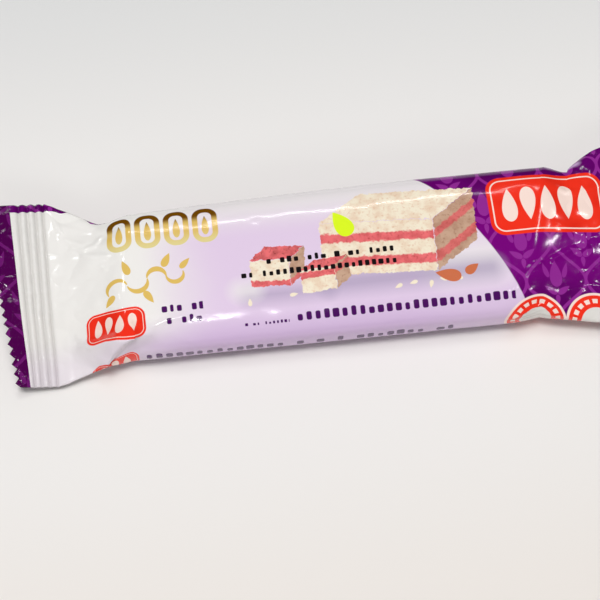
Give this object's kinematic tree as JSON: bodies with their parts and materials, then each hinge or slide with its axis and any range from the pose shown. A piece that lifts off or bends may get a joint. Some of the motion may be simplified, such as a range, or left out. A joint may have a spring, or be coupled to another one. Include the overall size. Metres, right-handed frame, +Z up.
{
  "type": "wrapped halva bar",
  "caption": "Sealed bar of sesame halva in glossy printed film, with ribbed end seals cut to a saw-tooth edge and a back seam folded flat, lying on its back.",
  "frame": {"origin": "centre of the underside, on the plane that the back seam rests on", "axes": "+X along the pack, +Y across it, +Z up out of the printed front"},
  "size_m": [0.1566, 0.043, 0.0132],
  "materials": {
    "printed_film": "glossy printed packaging film, pale lilac and white with purple ends, lightly creased"
  },
  "bodies": {
    "root": {"wrapped_bar": "printed_film"}
  },
  "joints": []
}
